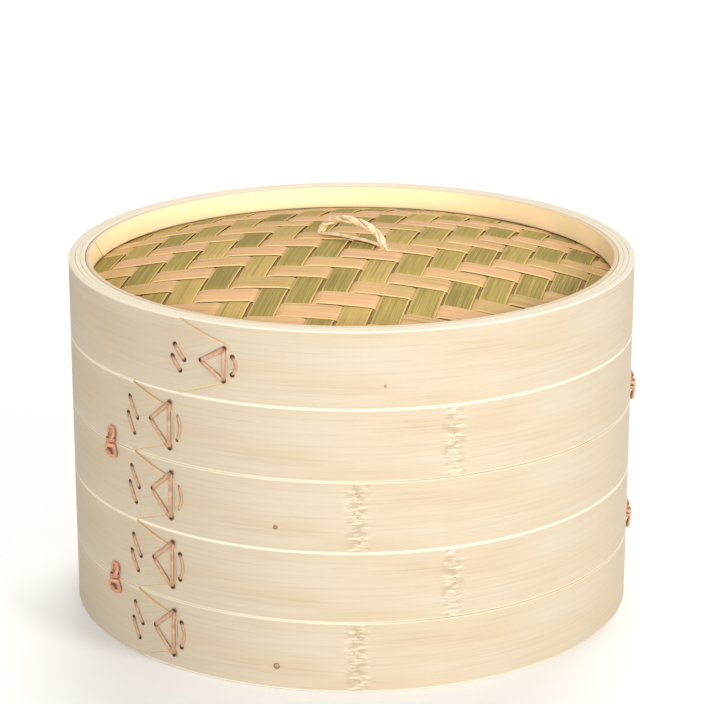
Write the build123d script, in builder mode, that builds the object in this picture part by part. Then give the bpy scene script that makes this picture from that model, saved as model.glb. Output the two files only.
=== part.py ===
from build123d import *
from math import cos, radians, sin, sqrt
import os

# A bamboo steamer: two stacked baskets with slatted floors, and a lid with a woven dome.
# Millimetres, +Z up. The origin is the centre of the lower basket's bottom rim.
# An azimuth is measured around the axis from -Y, and grows towards +X.

# Hoops: bamboo strips wound into rings, with the outer end lapped over as a flap
HOOP_R = 125.0              # mean outer radius, 250 mm across
LAP = 0.8                   # thickness of the strip's lapped outer end
HOOP_H = 31.0               # one hoop; a basket has two, one on the other
BASKET_H = 2 * HOOP_H
FLAP_TIP_H = (8.0, 24.0)    # the blunt tip of the flap, above the hoop's lower edge
FLAP_LENGTH_DEG = 10.5      # the taper, from full height to the tip

# Inner rings of a basket
RING_IN_R = 115.0
RING_OUT_R = 117.4
HOOP_IN_R = 117.5
SOCKET_R = 118.0            # the bottom rim, which goes over the collar below
SOCKET_H = 17.0
SOCKET_BEVEL_H = 3.0        # the socket narrows over this height to the bore behind the floor ring
COLLAR_RISE = 15.5          # how far the collar stands above the hoops

# Slatted floor
LATH_H = 5.0
LATH_W = 12.0
LATH_OFFSET = 24.0
FLOOR_Z = 28.6              # underside of the slats
SLAT_H = 4.0
SLAT_PITCH = 13.8
SLAT_GAP = 0.15
SLATS = 17
SLAT_DIRECTION_DEG = -47.0
SLOT_W = 4.4
SLOT_MIDDLE = (-15.0, 14.0)
SLOT_OUTER_START = 33.0
SLOT_LIMIT_R = 104.0        # the slots stop at this circle, short of the wall
COLLAR_Z = FLOOR_Z + SLAT_H

# Lid
LID_H = 33.0
DOME_TOP_Z = 37.7
DOME_R = 450.6
DOME_T = 1.4
LINING_T = 0.8
LINING_GAP = 0.1
DOME_EDGE_R = 117.6
CLAMP_IN_R = 115.8
CLAMP_OUT_R = 117.9
LOWER_CLAMP_Z = (16.2, 19.6)
UPPER_CLAMP_Z = 22.7
HANDLE_DIRECTION_DEG = -42.0
HANDLE_HALF_SPAN = 19.0
HANDLE_TOP_Z = 46.9         # middle of the arched strand
HANDLE_FOOT_Z = 36.8
HANDLE_STRAND_R = 1.6
HANDLE_TIE_Z = 38.6
HANDLE_TIE_R = 1.1

# Cane lacing, knots and pegs
CANE_R = 0.85
CANE_PROUD = 0.6            # the cane's middle stands this far off the hoop
CANE_BEND = 1.4             # bend radius over cane radius
CANE_LEG_DEPTH = 4.0
KNOT_H = 15.0
KNOT_SPREAD_DEG = 1.1
KNOT_CANE_R = 1.2
KNOT_AZIMUTHS = (-54.0, 92.0)
PEG_R = 1.25
PEG_Z = 10.0
PEG_AZIMUTHS = (-14.6, 105.4, 225.4)
BASKET_FLAP_AZ = -36.3
BASKET_LACING = (5.2, 26.1)  # the lowest and highest holes of the triangle
LID_FLAP_AZ = -23.8
LID_LACING = (8.4, 22.6)
LID_PEG_AZIMUTHS = (6.2, 126.2, 246.2)
ON_BASE = (Align.CENTER, Align.CENTER, Align.MIN)


def radial(azimuth, radius=1.0, height=0.0):
    """The point at an azimuth, a radius and a height."""
    return Vector(radius * sin(radians(azimuth)), -radius * cos(radians(azimuth)), height)


def wall_plane(azimuth, radius, height):
    """A plane on the wall that faces outwards, its x along growing azimuth and its y up."""
    across = Vector(cos(radians(azimuth)), sin(radians(azimuth)), 0)
    return Plane(origin=radial(azimuth, radius, height), x_dir=across, z_dir=radial(azimuth))


def floor_plane(height):
    """A level plane whose x runs along the slats."""
    turn = radians(SLAT_DIRECTION_DEG)
    return Plane(origin=(0, 0, height), x_dir=(cos(turn), sin(turn), 0), z_dir=(0, 0, 1))


def save(solid, name):
    """Label a piece and write it."""
    solid.label = name
    export_step(solid, f"parts/{name}.step")


def make_flap_cutter(flap_azimuth, base, height):
    """The two corners that are cut off the hoop's lapped end, down to just above the layer below it."""
    along = HOOP_R * radians(FLAP_LENGTH_DEG)
    layer_below_r = HOOP_R - LAP / 2 + 0.1
    tip_low, tip_high = FLAP_TIP_H
    with BuildPart() as cutter:
        with BuildSketch(wall_plane(flap_azimuth, HOOP_R - 8, base)):
            with BuildLine():
                Polyline((-along, -0.1), (0.5, tip_low), (0.5, -0.1), close=True)
            make_face()
            with BuildLine():
                Polyline((-along, height + 0.1), (0.5, tip_high), (0.5, height + 0.1), close=True)
            make_face()
        extrude(amount=12)
        with BuildSketch(Plane.XY.offset(base - 1)):
            Circle(layer_below_r)
        extrude(amount=height + 2, mode=Mode.SUBTRACT)
    return cutter.part


def make_hoop(name, base, height, inner_r, flap_azimuth, socket_h=0.0, peg_azimuths=()):
    """A wound hoop. Its outside is a two-centred spiral that steps down by one lap at the flap.

    The lowest socket_h of the bore is widened to the socket's radius.
    A bevel above the socket narrows to the bore.
    """
    start = radial(flap_azimuth, HOOP_R - LAP / 2)
    middle = radial(flap_azimuth, -HOOP_R)
    end = radial(flap_azimuth, HOOP_R + LAP / 2)
    side = radial(flap_azimuth + 90)
    first_r = (start - middle).length / 2
    second_r = (end - middle).length / 2
    corners = make_flap_cutter(flap_azimuth, base, height)
    with BuildPart() as hoop:
        with BuildSketch(Plane.XY.offset(base)):
            with BuildLine():
                ThreePointArc(start, (start + middle) / 2 + side * first_r, middle)
                ThreePointArc(middle, (middle + end) / 2 - side * second_r, end)
                Line(end, start)
            make_face()
            Circle(inner_r, mode=Mode.SUBTRACT)
        extrude(amount=height)
        if socket_h:
            with BuildSketch(Plane.XY.offset(base)):
                Circle(SOCKET_R)
            extrude(amount=socket_h, mode=Mode.SUBTRACT)
            with Locations((0, 0, base + socket_h)):
                Cone(SOCKET_R, inner_r, SOCKET_BEVEL_H, align=ON_BASE, mode=Mode.SUBTRACT)
        for azimuth in peg_azimuths:
            with BuildSketch(wall_plane(azimuth, HOOP_R - 10, base + PEG_Z)):
                Circle(PEG_R)
            extrude(amount=15, mode=Mode.SUBTRACT)
        add(corners, mode=Mode.SUBTRACT)
    save(hoop.part, name)


def make_ring(name, low, high, inner_r, outer_r):
    """A plain bent ring with eased top and bottom edges."""
    with BuildPart() as ring:
        with BuildSketch(Plane.XY.offset(low)):
            Circle(outer_r)
            Circle(inner_r, mode=Mode.SUBTRACT)
        extrude(amount=high - low)
        chamfer(ring.faces().sort_by(Axis.Z)[-1].edges(), length=0.4)
    save(ring.part, name)


def make_floor_ring(name, base):
    """The ring under the floor, notched for the ends of the two laths."""
    with BuildPart() as ring:
        with BuildSketch(Plane.XY.offset(base + SOCKET_H)):
            Circle(RING_OUT_R)
            Circle(RING_IN_R, mode=Mode.SUBTRACT)
        extrude(amount=FLOOR_Z - SOCKET_H)
        with BuildSketch(floor_plane(base + FLOOR_Z - LATH_H)):
            with Locations((-LATH_OFFSET, 0), (LATH_OFFSET, 0)):
                Rectangle(LATH_W + 0.2, 2 * HOOP_R)
        extrude(amount=LATH_H, mode=Mode.SUBTRACT)
    save(ring.part, name)


def make_laths(name, base):
    """The two laths across the slats' underside, their ends in the floor ring's notches."""
    with BuildPart() as laths:
        with BuildSketch(floor_plane(base + FLOOR_Z - LATH_H)):
            Circle(RING_OUT_R - 0.1)
            Rectangle(2 * LATH_OFFSET + LATH_W, 2 * HOOP_R, mode=Mode.INTERSECT)
            Rectangle(2 * LATH_OFFSET - LATH_W, 2 * HOOP_R, mode=Mode.SUBTRACT)
        extrude(amount=LATH_H)
    save(laths.part, name)


def slots_beside(boundary):
    """The slots along one joint between slats, as pairs of middle and length."""
    slots = [(sum(SLOT_MIDDLE) / 2, SLOT_MIDDLE[1] - SLOT_MIDDLE[0])]
    reach_squared = SLOT_LIMIT_R ** 2 - boundary ** 2
    if reach_squared > (SLOT_OUTER_START + 2 * SLOT_W) ** 2:
        reach = sqrt(reach_squared)
        length = reach - SLOT_OUTER_START
        slots += [(SLOT_OUTER_START + length / 2, length), (-SLOT_OUTER_START - length / 2, length)]
    return slots if reach_squared > 0 else []


def make_slat(name, base, index):
    """A floor slat, cut to the wall's circle, with half of each steam slot milled into its edges."""
    offset = index * SLAT_PITCH
    with BuildPart() as slat:
        with BuildSketch(floor_plane(base + FLOOR_Z)):
            Circle(RING_OUT_R - 0.1)
            with Locations((0, offset)):
                Rectangle(2 * HOOP_R, SLAT_PITCH - SLAT_GAP, mode=Mode.INTERSECT)
            for boundary in (offset - SLAT_PITCH / 2, offset + SLAT_PITCH / 2):
                for middle, length in slots_beside(boundary):
                    with Locations((middle, boundary)):
                        SlotOverall(length, SLOT_W, mode=Mode.SUBTRACT)
        extrude(amount=SLAT_H)
    save(slat.part, name)


def make_stitch(surface_r, base, first, second, cane_r=CANE_R, proud=CANE_PROUD):
    """A stitch of cane, from one hole to the other along the hoop, with a leg in each hole.

    Each hole is an azimuth and a height. The cane's middle stands proud of the surface.
    """
    outer = surface_r + proud
    inner = surface_r - CANE_LEG_DEPTH
    points = [
        radial(first[0], inner, base + first[1]),
        radial(first[0], outer, base + first[1]),
        radial(second[0], outer, base + second[1]),
        radial(second[0], inner, base + second[1]),
    ]
    with BuildPart() as stitch:
        with BuildLine():
            cane = FilletPolyline(*points, radius=CANE_BEND * cane_r)
        with BuildSketch(Plane(origin=cane @ 0, z_dir=cane % 0)):
            Circle(cane_r)
        sweep(path=cane)
    return stitch.part


def make_lacing(name, base, flap_azimuth, low, high):
    """The lacing that ties a hoop's flap down: a triangle, a loop beside it and two slanted stitches.

    The triangle reaches from low to high above the hoop's lower edge, and the rest is in proportion.
    """
    on_flap = HOOP_R + LAP / 2
    beside_flap = HOOP_R - LAP / 4
    span = high - low
    half = low + span / 2
    loop = span / 4
    beside_tip = flap_azimuth + 1.9
    pieces = [
        make_stitch(HOOP_R, base, (flap_azimuth - 0.7, high), (flap_azimuth - 5.5, half + 0.4)),
        make_stitch(HOOP_R, base, (flap_azimuth - 5.3, half - 0.6), (flap_azimuth - 0.8, low)),
        make_stitch(HOOP_R, base, (flap_azimuth - 0.2, low + 0.8), (flap_azimuth - 0.1, high - 0.7)),
        make_stitch(beside_flap, base, (beside_tip, half - loop), (beside_tip, half + loop)),
        make_stitch(on_flap, base, (flap_azimuth - 11.5, high - span / 8), (flap_azimuth - 9.4, half)),
        make_stitch(on_flap, base, (flap_azimuth - 12.1, half), (flap_azimuth - 10.3, low + span / 7)),
    ]
    with BuildPart() as lacing:
        add(pieces)
    save(lacing.part, name)


def make_knots(name, base):
    """The cane knots that tie the two hoops of a basket together, one on each side.

    Each is two strands that cross over the seam, and a short binding round their crossing.
    """
    reach = KNOT_H / 2 - KNOT_CANE_R
    strands = []
    for azimuth in KNOT_AZIMUTHS:
        left = azimuth - KNOT_SPREAD_DEG
        right = azimuth + KNOT_SPREAD_DEG
        low = HOOP_H - reach
        high = HOOP_H + reach
        strands += [
            make_stitch(HOOP_R, base, (left, low), (right, high), KNOT_CANE_R, KNOT_CANE_R),
            make_stitch(HOOP_R, base, (right, low), (left, high), KNOT_CANE_R, 2 * KNOT_CANE_R),
            make_stitch(HOOP_R, base, (left, HOOP_H), (right, HOOP_H), KNOT_CANE_R, 2.4 * KNOT_CANE_R),
        ]
    with BuildPart() as knots:
        add(strands)
    save(knots.part, name)


def make_pegs(name, base, azimuths, inner_r):
    """The round pegs through the wall, flush with its outside."""
    with BuildPart() as pegs:
        for azimuth in azimuths:
            with BuildSketch(wall_plane(azimuth, inner_r + 0.3, base + PEG_Z)):
                Circle(PEG_R - 0.03)
            extrude(amount=HOOP_R - inner_r - 0.7)
    save(pegs.part, name)


def make_cap(name, base, top_z, sphere_r, thickness, edge_r):
    """A shallow domed sheet, part of a sphere, turned from its section."""
    centre_z = base + top_z - sphere_r
    inner_r = sphere_r - thickness

    def on_arc(radius, x):
        """The point of an arc above x."""
        return (x, centre_z + sqrt(radius ** 2 - x ** 2))

    with BuildPart() as cap:
        with BuildSketch(Plane.XZ):
            with BuildLine():
                ThreePointArc(on_arc(sphere_r, 0), on_arc(sphere_r, edge_r / 2), on_arc(sphere_r, edge_r))
                Line(on_arc(sphere_r, edge_r), on_arc(inner_r, edge_r))
                ThreePointArc(on_arc(inner_r, edge_r), on_arc(inner_r, edge_r / 2), on_arc(inner_r, 0))
                Line(on_arc(inner_r, 0), on_arc(sphere_r, 0))
            make_face()
        revolve(axis=Axis.Z)
    save(cap.part, name)


def make_handle(name, base):
    """The cane loop on the dome: an arched strand, and a tie that joins its feet."""
    turn = radians(HANDLE_DIRECTION_DEG)
    upright = Plane(origin=(0, 0, base), x_dir=(cos(turn), sin(turn), 0), z_dir=(sin(turn), -cos(turn), 0))
    with BuildPart() as handle:
        with BuildLine(upright):
            arch = ThreePointArc(
                (-HANDLE_HALF_SPAN, HANDLE_FOOT_Z), (0, HANDLE_TOP_Z), (HANDLE_HALF_SPAN, HANDLE_FOOT_Z))
        with BuildSketch(Plane(origin=arch @ 0, z_dir=arch % 0)):
            Circle(HANDLE_STRAND_R)
        sweep(path=arch)
        with BuildLine(upright):
            tie = Line((1 - HANDLE_HALF_SPAN, HANDLE_TIE_Z), (HANDLE_HALF_SPAN - 1, HANDLE_TIE_Z))
        with BuildSketch(Plane(origin=tie @ 0, z_dir=tie % 0)):
            Circle(HANDLE_TIE_R)
        sweep(path=tie)
    save(handle.part, name)


def make_basket(side, base):
    """One basket: two hoops, a collar, a floor ring, laths, slats, pegs, lacing and knots."""
    make_hoop(f"{side}_bottom_hoop", base, HOOP_H, HOOP_IN_R, BASKET_FLAP_AZ, SOCKET_H, PEG_AZIMUTHS)
    make_hoop(f"{side}_top_hoop", base + HOOP_H, HOOP_H, HOOP_IN_R, BASKET_FLAP_AZ)
    make_ring(f"{side}_collar_ring", base + COLLAR_Z, base + BASKET_H + COLLAR_RISE, RING_IN_R, RING_OUT_R)
    make_floor_ring(f"{side}_floor_ring", base)
    make_laths(f"{side}_cross_laths", base)
    for number in range(SLATS):
        make_slat(f"{side}_slat_{number + 1:02d}", base, number - SLATS // 2)
    make_pegs(f"{side}_hoop_pegs", base, PEG_AZIMUTHS, SOCKET_R)
    make_lacing(f"{side}_bottom_lacing", base, BASKET_FLAP_AZ, *BASKET_LACING)
    make_lacing(f"{side}_top_lacing", base + HOOP_H, BASKET_FLAP_AZ, *BASKET_LACING)
    make_knots(f"{side}_side_knots", base)


def make_lid(base):
    """The lid: an outer hoop, two clamp rings with the dome and its lining between them, and the handle."""
    make_hoop("lid_hoop", base, LID_H, SOCKET_R, LID_FLAP_AZ, peg_azimuths=LID_PEG_AZIMUTHS)
    clamp_low, clamp_high = LOWER_CLAMP_Z
    make_ring("lid_lower_clamp_ring", base + clamp_low, base + clamp_high, CLAMP_IN_R, CLAMP_OUT_R)
    make_ring("lid_upper_clamp_ring", base + UPPER_CLAMP_Z, base + LID_H, CLAMP_IN_R, CLAMP_OUT_R)
    make_cap("lid_woven_dome", base, DOME_TOP_Z, DOME_R, DOME_T, DOME_EDGE_R)
    lining_r = DOME_R - DOME_T - LINING_GAP
    make_cap("lid_dome_lining", base, DOME_TOP_Z - DOME_T - LINING_GAP, lining_r, LINING_T, DOME_EDGE_R)
    make_handle("lid_handle", base)
    make_pegs("lid_pegs", base, LID_PEG_AZIMUTHS, SOCKET_R)
    make_lacing("lid_lacing", base, LID_FLAP_AZ, *LID_LACING)


os.makedirs("parts", exist_ok=True)
make_basket("lower", 0.0)
make_basket("upper", BASKET_H)
make_lid(2 * BASKET_H)
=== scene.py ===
"""A two-tier bamboo steamer: wound hoops, slatted floors, a woven lid, cane lacing and a cane handle.

Lengths are in metres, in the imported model's frame, +Z up. An azimuth is in degrees around the axis,
from -Y towards +X. Every bent or woven strip is a grid of points over two parameters: one along the
strip, one around its section.
"""

import logging
from dataclasses import dataclass, field
from enum import Enum
from math import radians
from typing import Any, ClassVar, Mapping, Optional, Sequence

import bpy
import numpy as np
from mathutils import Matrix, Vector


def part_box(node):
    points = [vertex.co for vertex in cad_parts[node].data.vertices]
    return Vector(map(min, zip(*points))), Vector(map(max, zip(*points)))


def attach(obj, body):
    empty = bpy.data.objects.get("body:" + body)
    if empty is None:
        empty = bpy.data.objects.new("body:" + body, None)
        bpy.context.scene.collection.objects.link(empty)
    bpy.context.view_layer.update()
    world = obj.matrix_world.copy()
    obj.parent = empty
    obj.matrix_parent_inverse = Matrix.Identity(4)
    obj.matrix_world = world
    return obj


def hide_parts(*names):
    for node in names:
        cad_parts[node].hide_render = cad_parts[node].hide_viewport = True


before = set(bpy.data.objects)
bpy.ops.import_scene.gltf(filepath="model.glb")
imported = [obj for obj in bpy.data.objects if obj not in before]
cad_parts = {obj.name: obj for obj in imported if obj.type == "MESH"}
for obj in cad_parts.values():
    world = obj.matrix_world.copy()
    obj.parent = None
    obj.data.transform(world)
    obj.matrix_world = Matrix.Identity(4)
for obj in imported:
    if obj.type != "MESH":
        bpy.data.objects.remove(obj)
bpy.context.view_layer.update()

LOG = logging.getLogger("steamer")
MM = 0.001
RANDOM_SEED = 41
CORNER_STEPS = 4
SHARP_ANGLE = 50.0
NO_JOINT = 10 * MM
Colour = tuple[float, float, float]
Place = tuple[float, float]


# ---------------------------------------------------------------- points and outlines


def around(azimuth: np.ndarray, radius: np.ndarray, height: np.ndarray) -> np.ndarray:
    """Points about the axis: radius times the sine and minus cosine of the azimuth, and the height.

    Args:
        azimuth: degrees from -Y towards +X.
        radius: distance from the axis.
        height: z.
    Returns:
        The points, with x, y and z in the last dimension.
    """
    turn = np.radians(azimuth)
    return np.stack(np.broadcast_arrays(radius * np.sin(turn), -radius * np.cos(turn), height), axis=-1)


def unit(vectors: np.ndarray) -> np.ndarray:
    """Each vector divided by its length."""
    return vectors / np.maximum(np.linalg.norm(vectors, axis=-1, keepdims=True), 1e-12)


def smooth_step(values: np.ndarray, low: float, high: float) -> np.ndarray:
    """0 below low, 1 above high, and 3t^2 - 2t^3 between them."""
    share = np.clip((values - low) / (high - low), 0, 1)
    return share * share * (3 - 2 * share)


@dataclass(frozen=True)
class Outline:
    """A closed outline in a box: each point is a share of the box's width and height plus a fixed push."""

    across: np.ndarray
    up: np.ndarray
    push_across: np.ndarray
    push_up: np.ndarray

    def place(self, low: tuple[Any, Any], high: tuple[Any, Any],
              push: Any = 1.0) -> tuple[np.ndarray, np.ndarray]:
        """The outline's points in a box, which may differ from row to row.

        Args:
            low: the box's lower corner, two numbers or two arrays with one number for each row.
            high: its upper corner.
            push: what the fixed pushes are multiplied by.
        Returns:
            Two arrays, rows by points: the coordinate across and the one up.
        """
        x0, y0, x1, y1, scale = [np.atleast_1d(v)[:, None] for v in (*low, *high, push)]
        across = x0 + (x1 - x0) * self.across + scale * self.push_across
        across, up = np.broadcast_arrays(across, y0 + (y1 - y0) * self.up + scale * self.push_up)
        return across, up


def eased_box(corner: float, side_steps: int, flat_steps: int = 1,
              grooves: Sequence[float] = (), groove_depth: float = 0.3 * MM) -> Outline:
    """A box whose corners are quarter circles, with narrow V grooves in its top and bottom.

    It runs along the bottom, up the outer side, back along the top and down the inner side.

    Args:
        corner: the corners' radius.
        side_steps: stretches on each upright side.
        flat_steps: stretches on the top and the bottom.
        grooves: the grooves' places, as shares of the width.
        groove_depth: their depth, which is also twice their half-width.
    Returns:
        The outline.
    """
    bend = np.radians(np.linspace(0, 90, CORNER_STEPS + 1))
    flats = sorted([(share, 0.0, 0.0) for share in np.linspace(0, 1, flat_steps + 1)[1:-1]]
                   + [(g, side, 0.0 if side else groove_depth) for g in grooves for side in (-0.5, 0.0, 0.5)])
    outer_side = [(1, 0, corner * (np.sin(a) - 1), corner * (1 - np.cos(a))) for a in bend]
    outer_side += [(1, share, 0, 0) for share in np.linspace(0, 1, side_steps + 1)[1:-1]]
    outer_side += [(1, 1, corner * (np.cos(a) - 1), corner * (np.sin(a) - 1)) for a in bend]
    points = [(share, 0, side * groove_depth, dip) for share, side, dip in flats] + outer_side
    points += [(share, 1, side * groove_depth, -dip) for share, side, dip in reversed(flats)]
    points += [(1 - across, 1 - up, -sideways, -upwards) for across, up, sideways, upwards in outer_side]
    return Outline(*np.array(points).T)


def flat_oval(width: float, thickness: float, count: int = 12, squareness: float = 2.6) -> np.ndarray:
    """The section of a split strand: a superellipse, |x|^n + |y|^n = 1, scaled to its width and thickness.

    Args:
        width: its size across.
        thickness: its size off the surface.
        count: the number of points.
        squareness: the exponent n.
    Returns:
        An array of points, two numbers each.
    """
    turn = np.linspace(0, 2 * np.pi, count, endpoint=False)
    power = 2 / squareness
    x = np.sign(np.cos(turn)) * np.abs(np.cos(turn)) ** power
    y = np.sign(np.sin(turn)) * np.abs(np.sin(turn)) ** power
    return np.stack([x * width / 2, y * thickness / 2], axis=-1)


# ---------------------------------------------------------------- meshes


@dataclass
class Grid:
    """A surface as rows and columns of points, with what its material reads at each of them.

    uv has one more row or column than points where that direction closes on itself. Its unit is a metre.
    """

    points: np.ndarray
    uv: np.ndarray
    closed_rows: bool = False
    marks: dict[str, np.ndarray] = field(default_factory=dict)
    finish: int = 0

    def faces(self, first: int) -> tuple[np.ndarray, np.ndarray]:
        """The quads between neighbouring rows and columns, with the columns closed into a loop.

        Args:
            first: the number of the grid's first point in the whole mesh.
        Returns:
            Point numbers, four to a face, and the matching UVs.
        """
        rows, columns = self.points.shape[:2]
        number = first + np.arange(rows * columns).reshape(rows, columns)
        row = np.arange(rows if self.closed_rows else rows - 1)[:, None]
        column = np.arange(columns)[None, :]
        after, beside = (row + 1) % rows, (column + 1) % columns
        quads = [number[row, column], number[after, column], number[after, beside], number[row, beside]]
        uvs = [self.uv[row, column], self.uv[row + 1, column],
               self.uv[row + 1, column + 1], self.uv[row, column + 1]]
        return np.stack(quads, axis=-1).reshape(-1, 4), np.stack(uvs, axis=-2).reshape(-1, 4, 2)

    def is_inside_out(self) -> bool:
        """True if the volume that the quads enclose, about their middle, is negative."""
        quads, _ = self.faces(0)
        corners = (self.points.reshape(-1, 3) - self.points.reshape(-1, 3).mean(0))[quads]
        a, b, c, d = (corners[:, k] for k in range(4))
        return float((a * np.cross(b, c)).sum() + (a * np.cross(c, d)).sum()) < 0


class Piece:
    """One Blender mesh, put together from grids."""

    def __init__(self, name: str, grids: Sequence[Grid], materials: Sequence[bpy.types.Material]) -> None:
        """Build the mesh and its object.

        Args:
            name: the piece's name.
            grids: its surfaces. An open grid gets a face at each end.
            materials: what the grids' finish numbers point to.
        """
        mesh = bpy.data.meshes.new(name)
        loops, starts, uvs, finishes, first, corner = [], [], [], [], 0, 0
        for grid in grids:
            quads, quad_uvs = grid.faces(first)
            turned = grid.is_inside_out()
            rows, columns = grid.points.shape[:2]
            order = np.arange(columns)
            ends = [] if grid.closed_rows else [(order[::-1], 0), (order, rows - 1)]
            groups = [(quads, quad_uvs)]
            groups += [((first + row * columns + end)[None], grid.uv[row, end][None]) for end, row in ends]
            for faces, face_uvs in groups:
                if not turned:
                    faces, face_uvs = faces[:, ::-1], face_uvs[:, ::-1]
                count, size = faces.shape
                loops.append(faces.ravel())
                uvs.append(face_uvs.reshape(-1, 2))
                starts.append(corner + size * np.arange(count))
                finishes.append(np.full(count, grid.finish))
                corner += count * size
            first += rows * columns
        self._fill(mesh, grids, [np.concatenate(part) for part in (loops, starts, uvs, finishes)])
        for material in materials:
            mesh.materials.append(material)
        self.object = bpy.data.objects.new(name, mesh)
        bpy.context.scene.collection.objects.link(self.object)

    @staticmethod
    def _fill(mesh: bpy.types.Mesh, grids: Sequence[Grid], arrays: Sequence[np.ndarray]) -> None:
        """Put the points, faces, UVs and marks into the mesh.

        Args:
            mesh: the empty mesh.
            grids: the surfaces, for their points and marks.
            arrays: corners, first corners of the faces, corner UVs and face finishes.
        """
        loops, starts, uvs, finishes = arrays
        points = np.concatenate([grid.points.reshape(-1, 3) for grid in grids])
        mesh.vertices.add(len(points))
        mesh.vertices.foreach_set("co", points.astype(np.float32).ravel())
        mesh.loops.add(len(loops))
        mesh.loops.foreach_set("vertex_index", loops.astype(np.int32))
        mesh.polygons.add(len(starts))
        mesh.polygons.foreach_set("loop_start", starts.astype(np.int32))
        mesh.polygons.foreach_set("material_index", finishes.astype(np.int32))
        mesh.polygons.foreach_set("use_smooth", np.ones(len(starts), bool))
        mesh.uv_layers.new(name="strip").data.foreach_set("uv", uvs.astype(np.float32).ravel())
        for mark in sorted({name for grid in grids for name in grid.marks}):
            values = [np.broadcast_to(grid.marks.get(mark, 0.0), grid.points.shape[:2]).ravel()
                      for grid in grids]
            layer = mesh.attributes.new(mark, "FLOAT", "POINT")
            layer.data.foreach_set("value", np.concatenate(values).astype(np.float32))
        mesh.update(calc_edges=True)
        mesh.validate()
        mesh.set_sharp_from_angle(angle=radians(SHARP_ANGLE))

    def stands_for(self, body: str, slot: str, *nodes: str) -> None:
        """Make the piece ride on a body, in place of CAD nodes.

        Args:
            body: the body's name.
            slot: the slot's name; not used.
            nodes: the nodes that it stands for, if any.
        """
        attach(self.object, body)
        if nodes:
            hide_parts(*nodes)
        LOG.info("%s: %d faces on %s", self.object.name, len(self.object.data.polygons), body)


def strip_uv(along: np.ndarray, across: np.ndarray, up: np.ndarray) -> np.ndarray:
    """UVs of a strip: the distance along it, and the distance around its section.

    Args:
        along: the distance at each row.
        across: the outlines' points, rows by columns.
        up: the same, in the other direction.
    Returns:
        Rows by columns + 1 by 2.
    """
    step = np.hypot(np.diff(across, axis=1, append=across[:, :1]), np.diff(up, axis=1, append=up[:, :1]))
    around_section = np.concatenate([np.zeros((len(step), 1)), np.cumsum(step, axis=1)], axis=1)
    return np.stack(np.broadcast_arrays(along[:, None], around_section), axis=-1)


def strand(path: np.ndarray, side: np.ndarray, section: np.ndarray, twist: Any = 0.0, width: Any = 1.0,
           closed: bool = False) -> Grid:
    """A section carried along a path. At each row it spans the side direction and the one square to it.

    Args:
        path: the strand's middle line, rows of points.
        side: a direction roughly across the path at each row, or one for all rows.
        section: the section's points, two numbers each.
        twist: degrees by which each row is turned about the path.
        width: what the section is multiplied by at each row.
        closed: whether the path's end meets its start.
    Returns:
        The grid. Its mark "end" is the distance to the nearer end of the path.
    """
    if closed:
        padded = np.concatenate([path[-1:], path, path[:1]])
        tangent = unit(padded[2:] - padded[:-2])
    else:
        tangent = unit(np.gradient(path, axis=0))
    normal = unit(np.cross(np.broadcast_to(side, path.shape), tangent))
    binormal = np.cross(tangent, normal)
    turn = np.broadcast_to(np.radians(twist), len(path))[:, None]
    size = np.broadcast_to(width, len(path))[:, None]
    x, y = section[:, 0] * size, section[:, 1] * size
    across, up = x * np.cos(turn) - y * np.sin(turn), x * np.sin(turn) + y * np.cos(turn)
    points = path[:, None] + across[..., None] * binormal[:, None] + up[..., None] * normal[:, None]
    step = np.linalg.norm(np.diff(path, axis=0), axis=1)
    along = np.concatenate([[0], np.cumsum(step)])
    marks = {"end": np.broadcast_to(np.minimum(along, along[-1] - along)[:, None], x.shape)}
    if closed:
        uv = strip_uv(np.append(along, along[-1] + np.linalg.norm(path[0] - path[-1])),
                      np.concatenate([x, x[:1]]), np.concatenate([y, y[:1]]))
        marks = {"end": np.full(x.shape, 1.0)}
    else:
        uv = strip_uv(along, x, y)
    return Grid(points, uv, closed_rows=closed, marks=marks)


def spot(azimuth: float, radius: float, height: float, size: float, rise: float, finish: int) -> Grid:
    """A low round button on the wall: rings that rise as they shrink, closed at both ends.

    Args:
        azimuth: where its middle is.
        radius: the wall's radius there.
        height: z of its middle.
        size: its radius.
        rise: how far its middle stands off the wall.
        finish: the number of its material.
    Returns:
        The grid.
    """
    turn = np.linspace(0, 2 * np.pi, 16, endpoint=False)
    ring = size * np.array([1.0, 1.0, 0.93, 0.7, 0.3])[:, None]
    off = np.array([-0.25 * MM, 0.35 * rise, 0.7 * rise, 0.95 * rise, rise])[:, None]
    degrees = azimuth + np.degrees(ring * np.cos(turn) / radius)
    points = around(degrees, radius + off, height + ring * np.sin(turn))
    return Grid(points, strip_uv(ring[:, 0], ring * np.cos(turn), ring * np.sin(turn)),
                marks={"end": np.broadcast_to(size - ring, points.shape[:2])}, finish=finish)


# ---------------------------------------------------------------- materials


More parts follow.
